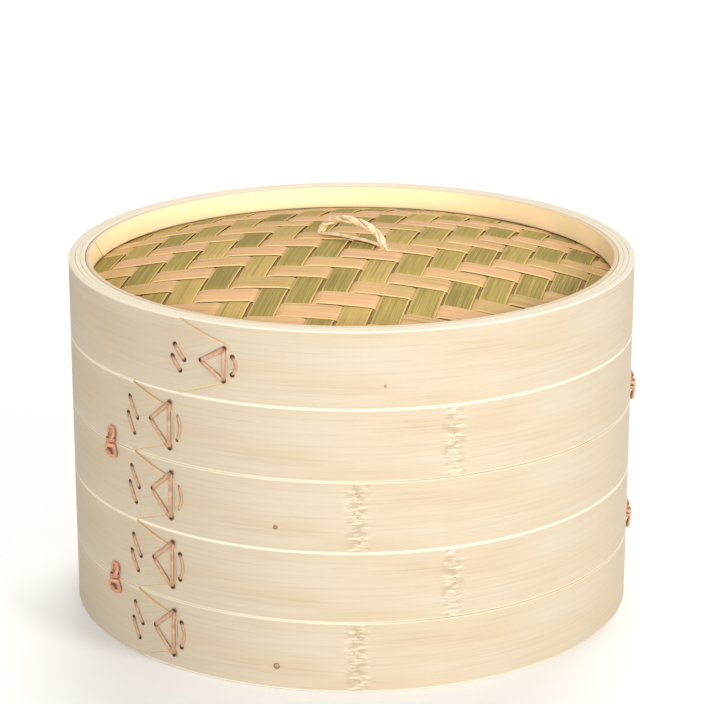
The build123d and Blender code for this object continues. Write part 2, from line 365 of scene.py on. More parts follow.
class Value:
    """A number that changes over a surface. Operators on it add Math nodes."""

    def __init__(self, bench: "Bench", socket: bpy.types.NodeSocket) -> None:
        """Wrap an output socket."""
        self.bench = bench
        self.socket = socket

    def math(self, operation: str, *values: Any) -> "Value":
        """The result of a Math node on the given values, which may be numbers."""
        made = self.bench.node("ShaderNodeMath", {"operation": operation}, dict(enumerate(values)))
        return Value(self.bench, made.outputs[0])

    def __add__(self, other: Any) -> "Value":
        """self + other."""
        return self.math("ADD", self, other)

    def __sub__(self, other: Any) -> "Value":
        """self - other."""
        return self.math("SUBTRACT", self, other)

    def __rsub__(self, other: Any) -> "Value":
        """other - self."""
        return self.math("SUBTRACT", other, self)

    def __mul__(self, other: Any) -> "Value":
        """self * other."""
        return self.math("MULTIPLY", self, other)

    def __abs__(self) -> "Value":
        """The distance from 0."""
        return self.math("ABSOLUTE", self)

    __radd__ = __add__
    __rmul__ = __mul__

    def rise(self, low: float, high: float) -> "Value":
        """A smooth step from 0 to 1.

        Args:
            low: where it is 0. It may be the larger of the two.
            high: where it is 1.
        Returns:
            The step's value.
        """
        made = self.bench.node(
            "ShaderNodeMapRange", {"interpolation_type": "SMOOTHSTEP"},
            {"Value": self, "From Min": low, "From Max": high, "To Min": 0.0, "To Max": 1.0})
        return Value(self.bench, made.outputs[0])


class Bench:
    """Where one material's nodes are put together."""

    def __init__(self, name: str) -> None:
        """Start an empty material."""
        self.material = bpy.data.materials.new(name)
        self.material.use_nodes = True
        self.tree = self.material.node_tree
        self.tree.nodes.clear()

    def node(self, kind: str, settings: Optional[Mapping[str, Any]] = None,
             inputs: Optional[Mapping[Any, Any]] = None) -> bpy.types.Node:
        """Add a node.

        Args:
            kind: its type.
            settings: its own settings, which are set first.
            inputs: numbers, colours or links for its sockets, by name or number.
        Returns:
            The node.
        """
        made = self.tree.nodes.new(kind)
        for key, value in (settings or {}).items():
            setattr(made, key, value)
        for key, value in (inputs or {}).items():
            value = value.socket if isinstance(value, Value) else value
            if isinstance(value, bpy.types.NodeSocket):
                self.tree.links.new(value, made.inputs[key])
            else:
                made.inputs[key].default_value = value
        return made

    def mark(self, name: str) -> Value:
        """What the mesh's attribute of that name holds."""
        made = self.node("ShaderNodeAttribute", {"attribute_name": name, "attribute_type": "GEOMETRY"})
        return Value(self, made.outputs["Fac"])

    def parts(self, vector: bpy.types.NodeSocket) -> list[Value]:
        """The three parts of a vector."""
        made = self.node("ShaderNodeSeparateXYZ", inputs={0: vector})
        return [Value(self, part) for part in made.outputs]

    def strip_place(self) -> list[Value]:
        """The distance along the strip and the one around its section, in metres."""
        return self.parts(self.node("ShaderNodeUVMap", {"uv_map": "strip"}).outputs[0])[:2]

    def object_place(self) -> list[Value]:
        """The object coordinates x, y and z, in metres."""
        return self.parts(self.node("ShaderNodeTexCoord").outputs["Object"])

    def noise(self, x: Any, y: Any, z: Any = 0.0, detail: float = 2.0, roughness: float = 0.5) -> Value:
        """Noise at a point, with features about one unit across.

        Args:
            x: the point's first coordinate, a number or a value.
            y: its second.
            z: its third.
            detail: how many finer layers it has.
            roughness: how strong they are.
        Returns:
            The noise, from 0 to 1.
        """
        where = self.node("ShaderNodeCombineXYZ", inputs={0: x, 1: y, 2: z})
        made = self.node("ShaderNodeTexNoise", inputs={
            "Vector": where.outputs[0], "Scale": 1.0, "Detail": detail, "Roughness": roughness})
        return Value(self, made.outputs[0])

    def mix(self, share: Any, first: Any, second: Any, blend: str = "MIX") -> bpy.types.NodeSocket:
        """A colour between two others, or their blend.

        Args:
            share: how much of the second colour there is.
            first: a colour or a link.
            second: another.
            blend: how they are blended.
        Returns:
            The mixed colour's socket.
        """
        colours = [(*c, 1.0) if isinstance(c, tuple) else c for c in (first, second)]
        made = self.node("ShaderNodeMix", {"data_type": "RGBA", "blend_type": blend, "clamp_factor": True},
                         {0: share, 6: colours[0], 7: colours[1]})
        return made.outputs[2]

    def finish(self, colour: Any, roughness: Any, height: Optional[Value], depth: float,
               specular: float = 0.4) -> bpy.types.Material:
        """Close the material with a Principled shader.

        Args:
            colour: the base colour.
            roughness: a number or a value.
            height: what the bump follows, from 0 to 1, or None.
            depth: how deep the bump is, in metres.
            specular: the specular level.
        Returns:
            The material.
        """
        inputs = {"Base Color": colour, "Roughness": roughness, "Specular IOR Level": specular}
        if height is not None:
            bump = self.node("ShaderNodeBump", inputs={"Strength": 1.0, "Distance": depth, "Height": height})
            inputs["Normal"] = bump.outputs[0]
        shader = self.node("ShaderNodeBsdfPrincipled", inputs=inputs)
        self.node("ShaderNodeOutputMaterial", inputs={0: shader.outputs[0]})
        return self.material


@dataclass(frozen=True)
class BentBamboo:
    """A planed strip bent into a ring: fine fibres along it, paler edges, and knuckles at the cane's nodes.

    It reads the marks "edge", the distance to the strip's nearer edge, "knuckle", the distance along
    the strip to the nearest node, "cut", 1 where the edge is cut on a slant, "joint", the distance to
    the joint with another hoop, and "inside", 1 on a ring's inner side. Along the joint it paints dirt
    and shade in the seam. On the inner side it paints light, paler and warmer, for the light that
    hardly reaches inside the steamer.
    """

    name: str
    pale: Colour
    warm: Colour
    fibre: Colour
    edge: Colour
    roughness: float = 0.56

    def material(self) -> bpy.types.Material:
        """The material."""
        bench = Bench(self.name)
        along, up = bench.strip_place()
        edge, knuckle = bench.mark("edge"), bench.mark("knuckle")
        cloud = bench.noise(along * 14, up * 70, detail=3.0)
        band = bench.noise(along * 5, up * 420, 3.1, detail=2.0)
        fine = bench.noise(along * 26, up * 2600, 7.7, detail=2.0)
        pore = bench.noise(along * 170, up * 5200, 1.9, detail=1.0)
        colour = bench.mix(cloud.rise(0.3, 0.72), self.pale, self.warm)
        colour = bench.mix(band.rise(0.45, 0.75) * 0.35, colour, self.warm)
        colour = bench.mix(fine.rise(0.5, 0.78) * 0.3, colour, self.fibre)
        colour = bench.mix(pore.rise(0.66, 0.76) * 0.32, colour, self.fibre)
        near = knuckle.rise(7.0 * MM, 1.5 * MM)
        core = abs(knuckle + (bench.noise(up * 260, 5.0) - 0.5) * 0.006).rise(2.2 * MM, 0.3 * MM)
        ripple = bench.noise(along * 210, up * 900, 4.4, detail=2.0, roughness=0.6)
        colour = bench.mix(near * ripple.rise(0.48, 0.62) * 0.5, colour, self.fibre)
        colour = bench.mix(near * ripple.rise(0.46, 0.34) * 0.4, colour, self.edge)
        fleck = bench.noise(along * 620, up * 700, 8.2, detail=1.0).rise(0.62, 0.7)
        colour = bench.mix(core * fleck * 0.75, colour, (0.23, 0.15, 0.07))
        # Painted light: a ring's inner side is made paler and warmer, for the light that hardly reaches
        # inside the steamer.
        colour = bench.mix(bench.mark("inside") * 0.88, colour, (0.96, 0.76, 0.46))
        worn = edge.rise(0.9 * MM, 0.1 * MM)
        colour = bench.mix(worn * 0.75, colour, self.edge)
        cut = bench.mark("cut") * edge.rise(0.75 * MM, 0.3 * MM)
        colour = bench.mix(cut * 0.8, colour, (0.40, 0.23, 0.08))
        # Dirt and painted shade: a mottled dark brown line along the seam with the other hoop, where the
        # gap's shade falls.
        seam_dirt_and_shade = bench.mark("joint").rise(0.5 * MM, 0.1 * MM) * bench.noise(along * 8, 3.0, 2.0).rise(0.3, 0.6)
        colour = bench.mix(seam_dirt_and_shade * 0.75, colour, (0.27, 0.17, 0.08))
        height = fine * 0.5 + pore * 0.3 + near * ripple * 1.1 + core * 0.6
        roughness = self.roughness + 0.1 * fine - 0.08 * worn
        return bench.finish(colour, roughness, height, 0.06 * MM, specular=0.25)


@dataclass(frozen=True)
class SlatBamboo:
    """A sawn floor slat: fibres along it, a tone of its own, and rougher milled slot walls, painted darker
    and warmer as the shade in the slots.

    It reads the marks "tone", from 0 to 1 for each slat, and "wall", 1 on its sides and 0 on its top.
    """

    name: str
    pale: Colour
    warm: Colour
    fibre: Colour
    wall: Colour

    def material(self) -> bpy.types.Material:
        """The material."""
        bench = Bench(self.name)
        along, up = bench.strip_place()
        tone, wall = bench.mark("tone"), bench.mark("wall")
        shift = tone * 9.0
        cloud = bench.noise(along * 18, up * 110, shift, detail=3.0)
        fine = bench.noise(along * 34, up * 1900, shift, detail=2.0)
        pore = bench.noise(along * 150, up * 3600, shift, detail=1.0)
        colour = bench.mix((cloud * 0.7 + tone * 0.5).rise(0.35, 0.85), self.pale, self.warm)
        colour = bench.mix(fine.rise(0.5, 0.76) * 0.4, colour, self.fibre)
        colour = bench.mix(pore.rise(0.64, 0.74) * 0.35, colour, self.fibre)
        # Painted shade: below its top, the slat is darker and warmer, as the shade in the slots and between
        # the slats.
        colour = bench.mix(wall.rise(0.15, 0.9) * 0.85, colour, self.wall)
        height = fine * 0.6 + pore * 0.3
        return bench.finish(colour, 0.6 + 0.12 * wall, height, 0.08 * MM, specular=0.15)


@dataclass(frozen=True)
class SplitSkin:
    """A split strip of the weave: streaks along it, yellow cut edges and a tone of its own.

    It reads the marks "tone", "edge", the distance to the strip's long edge, and "lift", 1 where the strip
    passes over and 0 where it passes under. Where it passes under, shade is painted on in the same dark
    colour as the grime.
    """

    name: str
    tones: tuple[Colour, Colour, Colour]
    streak: Colour
    rim: Colour
    grime_and_shade: Colour
    roughness: float = 0.58

    def material(self) -> bpy.types.Material:
        """The material."""
        bench = Bench(self.name)
        along, up = bench.strip_place()
        tone, edge, lift = bench.mark("tone"), bench.mark("edge"), bench.mark("lift")
        shift = tone * 23.0
        stretch = bench.noise(along * 32, shift, 2.0, detail=2.0)
        mixed = tone * 0.62 + stretch * 0.5 - 0.06
        colour = bench.mix(mixed.rise(0.12, 0.5), self.tones[0], self.tones[1])
        colour = bench.mix(mixed.rise(0.5, 0.92), colour, self.tones[2])
        broad = bench.noise(along * 12, up * 700, shift, detail=2.0)
        fine = bench.noise(along * 30, up * 2600, shift, detail=2.0)
        colour = bench.mix(broad.rise(0.5, 0.72) * 0.45, colour, self.streak)
        colour = bench.mix(fine.rise(0.52, 0.7) * 0.4, colour, self.rim)
        # Grime: dark specks along the fibres.
        colour = bench.mix(fine.rise(0.46, 0.3) * 0.35, colour, self.grime_and_shade)
        ragged = edge + (bench.noise(along * 90, shift, 6.0) - 0.5) * 0.0007
        colour = bench.mix(ragged.rise(0.75 * MM, 0.3 * MM) * 0.75, colour, self.rim)
        # Painted shade: darker where the strip dips under the crossing strip.
        colour = bench.mix(lift.rise(0.55, 0.0) * 0.6, colour, self.grime_and_shade)
        height = fine * 0.6 + broad * 0.5
        return bench.finish(colour, self.roughness + 0.15 * broad, height, 0.09 * MM, specular=0.12)


@dataclass(frozen=True)
class SplitCane:
    """Cane that is drawn through holes: fibres along it, and painted shade near its ends, where it goes into
    a hole.

    It reads the mark "end", the distance to the strand's nearer end.
    """

    name: str
    pale: Colour
    deep: Colour
    end: Colour
    shaded_end_reach: float = 2.0 * MM

    def material(self) -> bpy.types.Material:
        """The material."""
        bench = Bench(self.name)
        along, up = bench.strip_place()
        end = bench.mark("end")
        fibre = bench.noise(along * 90, up * 2600, detail=2.0)
        blotch = bench.noise(along * 240, up * 300, 5.0, detail=2.0)
        colour = bench.mix(blotch.rise(0.35, 0.7), self.pale, self.deep)
        colour = bench.mix(fibre.rise(0.5, 0.68) * 0.55, colour, self.deep)
        # Painted shade: darker towards the strand's ends, where it goes into a hole or into the surface.
        colour = bench.mix(end.rise(self.shaded_end_reach, 0.25 * self.shaded_end_reach) * 0.85, colour, self.end)
        return bench.finish(colour, 0.44 + 0.2 * fibre, fibre, 0.12 * MM, specular=0.5)


@dataclass(frozen=True)
class PunchedHole:
    """A hole drawn as a dark disc: painted shade for its depth, nearly black in the middle and dark brown at
    its ragged rim.
    """

    name: str
    middle: Colour
    rim: Colour

    def material(self) -> bpy.types.Material:
        """The material."""
        bench = Bench(self.name)
        x, y, z = bench.object_place()
        ragged = bench.noise(x * 1800, y * 1800, z * 1800, detail=2.0)
        inward = bench.mark("end") + (ragged - 0.5) * 0.0006
        # Painted shade: the hole's depth, nearly black in the middle and dark brown towards its ragged rim.
        colour = bench.mix(inward.rise(0.0, 0.55 * MM), self.rim, self.middle)
        return bench.finish(colour, 0.75 + 0.1 * ragged, ragged, 0.1 * MM, specular=0.2)


@dataclass(frozen=True)
class SawnBamboo:
    """The plain bamboo of the pieces under the floor, by object coordinates: fibres in level layers."""

    name: str
    pale: Colour
    fibre: Colour

    def material(self) -> bpy.types.Material:
        """The material."""
        bench = Bench(self.name)
        x, y, z = bench.object_place()
        layer = bench.noise(x * 24, y * 24, z * 1500, detail=2.0)
        cloud = bench.noise(x * 40, y * 40, z * 160, detail=3.0)
        speck = bench.noise(x * 700, y * 700, z * 2200, detail=1.0)
        colour = bench.mix((layer * 0.6 + cloud * 0.4).rise(0.4, 0.66), self.pale, self.fibre)
        colour = bench.mix(speck.rise(0.62, 0.74) * 0.4, colour, (0.3, 0.18, 0.07))
        return bench.finish(colour, 0.62 + 0.15 * cloud, layer + speck * 0.4, 0.1 * MM)


class Finish(Enum):
    """The finishes of the steamer's pieces."""

    HOOP = BentBamboo("wound_strip", (0.455, 0.39, 0.30), (0.43, 0.35, 0.245), (0.29, 0.21, 0.125),
                      (0.82, 0.73, 0.57))
    COLLAR = BentBamboo("collar_strip", (0.465, 0.345, 0.215), (0.44, 0.30, 0.165), (0.30, 0.185, 0.09),
                        (0.66, 0.54, 0.37))
    SLAT = SlatBamboo("floor_slat", (0.97, 0.81, 0.48), (0.94, 0.71, 0.37), (0.70, 0.45, 0.18),
                      (0.66, 0.38, 0.14))
    OLIVE = SplitSkin("weave_olive", ((0.25, 0.195, 0.045), (0.365, 0.27, 0.065), (0.53, 0.35, 0.11)),
                      (0.19, 0.145, 0.03), (0.66, 0.46, 0.16), (0.10, 0.055, 0.016))
    TAN = SplitSkin("weave_tan", ((0.62, 0.39, 0.165), (0.68, 0.39, 0.20), (0.46, 0.33, 0.10)),
                    (0.34, 0.23, 0.06), (0.76, 0.54, 0.25), (0.13, 0.07, 0.02))
    LINING = SplitSkin("weave_lining", ((0.66, 0.50, 0.26), (0.72, 0.55, 0.30), (0.60, 0.47, 0.24)),
                       (0.50, 0.37, 0.16), (0.80, 0.63, 0.35), (0.22, 0.15, 0.06))
    LACING = SplitCane("lacing_strand", (0.47, 0.29, 0.18), (0.28, 0.15, 0.08), (0.11, 0.05, 0.025))
    KNOT = SplitCane("knot_strand", (0.56, 0.27, 0.16), (0.37, 0.15, 0.08), (0.18, 0.07, 0.03))
    HANDLE = SplitCane("handle_strand", (0.84, 0.68, 0.45), (0.60, 0.41, 0.22), (0.34, 0.22, 0.10), 1.2 * MM)
    HOLE = PunchedHole("hole_painted_shade", (0.035, 0.018, 0.01), (0.20, 0.09, 0.04))
    PEG = SawnBamboo("peg_end_grain", (0.33, 0.23, 0.13), (0.19, 0.11, 0.05))
    HIDDEN = SawnBamboo("sawn_lath", (0.78, 0.60, 0.34), (0.62, 0.42, 0.20))

    @property
    def made(self) -> bpy.types.Material:
        """The finish's material, made the first time that it is asked for."""
        found = bpy.data.materials.get(self.value.name)
        return found or self.value.material()


# ---------------------------------------------------------------- the wound and bent rings


def levels(node: str) -> tuple[float, float]:
    """The lowest and highest z of a CAD node."""
    low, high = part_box(node)
    return low.z, high.z


def waviness(azimuth: np.ndarray, height: np.ndarray, amount: float, seed: int) -> np.ndarray:
    """A slight unevenness: a sum of five waves around the ring, each drifting with height.

    Args:
        azimuth: degrees.
        height: z.
        amount: the largest wave's size.
        seed: what tells one ring from another.
    Returns:
        The offset at each point.
    """
    draw = np.random.default_rng(seed)
    total = np.zeros(np.broadcast(azimuth, height).shape)
    for count in (2, 3, 5, 9, 14):
        phase, drift = draw.uniform(0, 2 * np.pi), draw.uniform(-40, 40)
        total = total + amount / count * np.sin(count * np.radians(azimuth) + phase + drift * height)
    return total


def distance_to_nearest(azimuth: np.ndarray, places: Sequence[float], radius: float) -> np.ndarray:
    """The distance around a ring to the nearest of some azimuths."""
    apart = (np.asarray(azimuth)[..., None] - np.array(places) + 180) % 360 - 180
    return np.radians(np.abs(apart).min(-1)) * radius


@dataclass
class NodePiece:
    """What takes the place of one CAD node. Its own classes say how its mesh is named and dressed."""

    node: str
    body: str
    ending: ClassVar[str]
    slot: ClassVar[str]
    finishes: ClassVar[tuple[Finish, ...]]

    def grids(self) -> list[Grid]:
        """The piece's surfaces."""
        raise NotImplementedError

    def build(self) -> None:
        """Make the piece in place of its CAD node."""
        materials = [finish.made for finish in self.finishes]
        piece = Piece(f"{self.node}_{self.ending}", self.grids(), materials)
        piece.stands_for(self.body, self.slot, self.node)


@dataclass
class Hoop(NodePiece):
    """A wound hoop: a core ring, and the strip's last turn, which ends in a tapered flap.

    The last turn is one layer thick at the flap and thins to nothing where it starts, under the flap.
    """

    ending = "wound"
    slot = "hoop_bamboo"
    finishes = (Finish.HOOP,)
    inner_radius: float
    flap_azimuth: float
    knuckles: tuple[float, ...]
    seed: int
    joint: Optional[float] = None
    outer_radius: float = 124.6 * MM
    lap: float = 0.8 * MM
    taper: float = 10.5
    top_cut: float = 7.2 * MM
    bottom_cut: float = 8.0 * MM
    lead_in: float = 11.5
    core_depth: float = 0.35 * MM
    core_inset: float = 0.06 * MM
    corner: float = 0.45 * MM
    blunting: float = 0.28
    blunt_length: float = 0.9
    knuckle_radius: float = 125.0 * MM
    unevenness: float = 0.08 * MM
    grooves: tuple[float, ...] = (0.34, 0.67)
    core_rows: int = 360
    flap_stretch: float = 12.0

    def surface_radius(self, azimuth: Any) -> Any:
        """The outside radius of the last turn at an azimuth: it grows by one lap in a turn up to the flap."""
        share = 1 - ((self.flap_azimuth - np.asarray(azimuth, float)) % 360) / 360
        return self.outer_radius + self.lap * share

    def marks(self, azimuth: np.ndarray, height: np.ndarray, low: Any, high: Any) -> dict[str, np.ndarray]:
        """What the finish reads on both grids.

        Args:
            azimuth: each row's.
            height: z of the points, rows by columns.
            low: the strip's lower edge.
            high: its upper edge.
        Returns:
            The distances to the edges, to the joint with the other hoop and to the nearest node.
        """
        joint = np.full(height.shape, NO_JOINT) if self.joint is None else np.abs(height - self.joint)
        knuckle = distance_to_nearest(azimuth, self.knuckles, self.knuckle_radius)[:, None]
        return {"edge": np.minimum(height - low, high - height), "joint": joint,
                "knuckle": np.broadcast_to(knuckle, height.shape)}

    def core(self) -> Grid:
        """The core ring: an eased box around the axis, with the turns' joints as grooves in its ends.

        Returns:
            The grid.
        """
        low, high = levels(self.node)
        azimuth = np.linspace(0, 360, self.core_rows + 1)[:-1]
        outline = eased_box(self.corner, 6, 4, grooves=self.grooves)
        placed = outline.place((self.inner_radius, low), (self.outer_radius - self.core_inset, high))
        radius, height = [np.repeat(part, self.core_rows, axis=0) for part in placed]
        outside = smooth_step(radius, self.inner_radius, self.outer_radius)
        radius = radius + outside * waviness(azimuth[:, None], height, self.unevenness, self.seed)
        along = np.radians(np.append(azimuth, 360)) * self.outer_radius
        uv = strip_uv(along, np.concatenate([radius, radius[:1]]), np.concatenate([height, height[:1]]))
        return Grid(around(azimuth[:, None], radius, height), uv, closed_rows=True,
                    marks=self.marks(azimuth, height, low, high))

    def last_turn(self) -> Grid:
        """The strip's last turn: an eased box whose outer side is a spiral, its end cut to a blunt tip.

        Returns:
            The grid.
        """
        low, high = levels(self.node)
        start, end = self.flap_azimuth - 360 - self.lead_in, self.flap_azimuth
        flap = end - self.flap_stretch
        azimuth = np.concatenate([np.linspace(start, flap, 340)[:-1], np.linspace(flap, end, 70)])
        from_end = end - azimuth
        cut = np.clip(1 - from_end / self.taper, 0, 1) ** 0.9
        rounding = 1 - np.clip(from_end / self.blunt_length, 0, 1)
        blunt = 1 - self.blunting * (1 - np.sqrt(np.clip(1 - rounding ** 2, 0, 1)))
        middle = (low + high) / 2
        bottom = middle + (low + self.bottom_cut * cut - middle) * blunt
        top = middle + (high - self.top_cut * cut - middle) * blunt
        thickness = self.lap * (azimuth - start) / (end - start)
        thickness = thickness * (1 - 0.4 * smooth_step(cut, 0.55, 1.0)) + 0.05 * MM
        inner = np.full(azimuth.shape, self.outer_radius - self.core_depth)
        outline = eased_box(1.0, 14, 1)
        ease = np.minimum(0.42 * (thickness + self.core_depth), 0.5 * MM)
        radius, height = outline.place((inner, bottom), (self.outer_radius + thickness, top), ease)
        lifted = smooth_step(radius, self.outer_radius - self.core_depth, self.outer_radius)
        radius = radius + lifted * waviness(azimuth[:, None], height, self.unevenness, self.seed)
        along = np.radians(azimuth - start) * self.outer_radius
        marks = self.marks(azimuth, height, bottom[:, None], top[:, None])
        marks["cut"] = np.broadcast_to(smooth_step(cut, 0.0, 0.04)[:, None], radius.shape)
        return Grid(around(azimuth[:, None], radius, height), strip_uv(along, radius, height), marks=marks)

    def grids(self) -> list[Grid]:
        """The core ring and the last turn."""
        return [self.core(), self.last_turn()]


@dataclass
class BentRing(NodePiece):
    """A thin strip bent into a ring, its two ends cut on the same slant and set edge to edge."""

    ending = "bent"
    slot = "ring_bamboo"
    finishes = (Finish.COLLAR,)
    inner_radius: float
    outer_radius: float
    seam_azimuth: float
    knuckles: tuple[float, ...]
    seed: int
    seam_slope: float = 650.0
    seam_gap: float = 0.12
    seam_step: float = 0.22 * MM
    corner: float = 0.55 * MM
    unevenness: float = 0.1 * MM
    rows: int = 420

    def grids(self) -> list[Grid]:
        """The ring: an eased box around the axis. A point's azimuth starts from the seam's at its height.

        Returns:
            The one grid.
        """
        low, high = levels(self.node)
        share = np.linspace(0, 1, self.rows)
        placed = eased_box(self.corner, 10, 2).place((self.inner_radius, low), (self.outer_radius, high))
        radius, height = [np.repeat(part, self.rows, axis=0) for part in placed]
        seam = self.seam_azimuth - self.seam_slope * (high - height)
        azimuth = seam + share[:, None] * (360 - self.seam_gap)
        lift = self.seam_step * smooth_step(share, 0.985, 1.0)[:, None]
        radius = radius - lift + waviness(azimuth, height, self.unevenness, self.seed)
        along = np.radians(share * 360) * self.outer_radius
        marks = {
            "edge": np.minimum(height - low, high - height),
            "knuckle": distance_to_nearest(azimuth, self.knuckles, self.outer_radius),
            "joint": np.full(radius.shape, NO_JOINT),
            # 1 on the inner side, where the finish paints light.
            "inside": 1 - smooth_step(radius, self.inner_radius, (self.inner_radius + self.outer_radius) / 2),
        }
        return [Grid(around(azimuth, radius, height), strip_uv(along, radius, height), marks=marks)]


# ---------------------------------------------------------------- the slatted floor


@dataclass
class SlatFloor:
    """The floor's slats, each with half of every steam slot beside it milled into its edge."""

    side: str
    body: str
    direction: float = -47.0
    count: int = 17
    pitch: float = 13.8 * MM
    gap: float = 0.16 * MM
    wall_radius: float = 117.2 * MM
    slot_width: float = 4.4 * MM
    slot_middle: tuple[float, float] = (-15.0 * MM, 14.0 * MM)
    slot_outer_start: float = 33.0 * MM
    slot_limit: float = 104.0 * MM
    corner: float = 0.38 * MM
    settling: float = 0.12 * MM
    top_inset: float = 0.1 * MM

    def slots(self, boundary: float) -> list[Place]:
        """The slots along a joint between slats.

        Args:
            boundary: the joint's distance from the floor's middle.
        Returns:
            Pairs of start and end along the slats.
        """
        reach_squared = self.slot_limit ** 2 - boundary ** 2
        if reach_squared < (2 * self.slot_middle[1]) ** 2:
            return []
        reach = reach_squared ** 0.5
        if reach <= self.slot_outer_start * 1.2:
            return [self.slot_middle]
        return [self.slot_middle, (self.slot_outer_start, reach), (-reach, -self.slot_outer_start)]

    def notch(self, along: np.ndarray, boundary: float) -> np.ndarray:
        """How deep the edge is milled: half a slot's width, and a quarter circle at its ends.

        Args:
            along: the places along the slat.
            boundary: the joint's distance from the floor's middle.
        Returns:
            The depth at each place.
        """
        half = self.slot_width / 2
        depth = np.zeros_like(along)
        for start, end in self.slots(boundary):
            inside = np.clip(np.minimum(along - start, end - along), 0, half)
            depth = np.maximum(depth, np.sqrt(half ** 2 - (half - inside) ** 2))
        return depth

    def rows(self, boundaries: Place, reach: float) -> np.ndarray:
        """Where the rows lie along a slat: evenly, and closer together round the slots' ends.

        Args:
            boundaries: the joints on its two sides.
            reach: half its length.
        Returns:
            The places.
        """
        close = (1 - np.cos(np.linspace(0, np.pi / 2, 7))) * self.slot_width / 2
        places = [np.linspace(-reach, reach, 25)]
        for boundary in boundaries:
            for start, end in self.slots(boundary):
                places += [start + close, end - close, np.array([start - 0.2 * MM, end + 0.2 * MM])]
        return np.unique(np.round(np.concatenate(places), 6))

    def slat(self, number: int, draw: np.random.Generator) -> Grid:
        """A slat: a straight eased box, narrowed by its notches, its ends cut to the wall's circle.

        Args:
            number: the slat's number, from one side of the floor to the other.
            draw: the source of its height and tone.
        Returns:
            The grid.
        """
        low, high = levels(f"{self.side}_slat_{number + 1:02d}")
        offset = (number - self.count // 2) * self.pitch
        half = (self.pitch - self.gap) / 2
        boundaries = (offset - self.pitch / 2, offset + self.pitch / 2)
        ends = [end for boundary in boundaries for _, end in self.slots(boundary)]
        straight = max(ends, default=0.0) + (0.6 * MM if ends else 0.0)
        reach = np.sqrt(self.wall_radius ** 2 - (abs(offset) - half) ** 2)
        along = self.rows(boundaries, reach)
        left = offset - half + self.notch(along, boundaries[0])
        right = offset + half - self.notch(along, boundaries[1])
        sag = draw.uniform(-1, 1) * self.settling
        outline = eased_box(self.corner, 3, 4)
        across, height = outline.place((left, low), (right, high + sag - self.top_inset))
        limit = np.sqrt(np.maximum(self.wall_radius ** 2 - across ** 2, 0))
        beyond = np.clip((np.abs(along) - straight) / (reach - straight), 0, 1)[:, None]
        length = np.sign(along)[:, None] * np.where(
            beyond > 0, straight + beyond * (limit - straight), np.abs(along)[:, None])
        turn = radians(self.direction)
        x, y = np.cos(turn) * length - np.sin(turn) * across, np.sin(turn) * length + np.cos(turn) * across
        points = np.stack([x, y, height], axis=-1)
        # 1 below the top face, where the finish paints shade.
        wall = 1 - smooth_step(height, high - 1.3 * MM, high - 0.35 * MM)
        marks = {"tone": np.full(across.shape, draw.uniform(0, 1)), "wall": wall}
        return Grid(points, strip_uv(along, across, height), marks=marks)

    def build(self) -> None:
        """Make each slat in place of its CAD node, and dress the pieces under the floor."""
        draw = np.random.default_rng(RANDOM_SEED + len(self.side))
        grids = [self.slat(number, draw) for number in range(self.count)]
        nodes = [f"{self.side}_slat_{number + 1:02d}" for number in range(self.count)]
        floor = Piece(f"{self.side}_floor_slats", grids, [Finish.SLAT.made])
        floor.stands_for(self.body, "floor_bamboo", *nodes)
        for node in (f"{self.side}_floor_ring", f"{self.side}_cross_laths"):
            dress(node, Finish.HIDDEN.made)


def dress(node: str, material: bpy.types.Material) -> None:
    """Give a CAD node that stays its material.

    Args:
        node: the node's name.
        material: the material.
    """
    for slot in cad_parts[node].material_slots:
        slot.material = material
    LOG.info("%s: dressed in %s", node, material.name)


# ---------------------------------------------------------------- cane and pegs


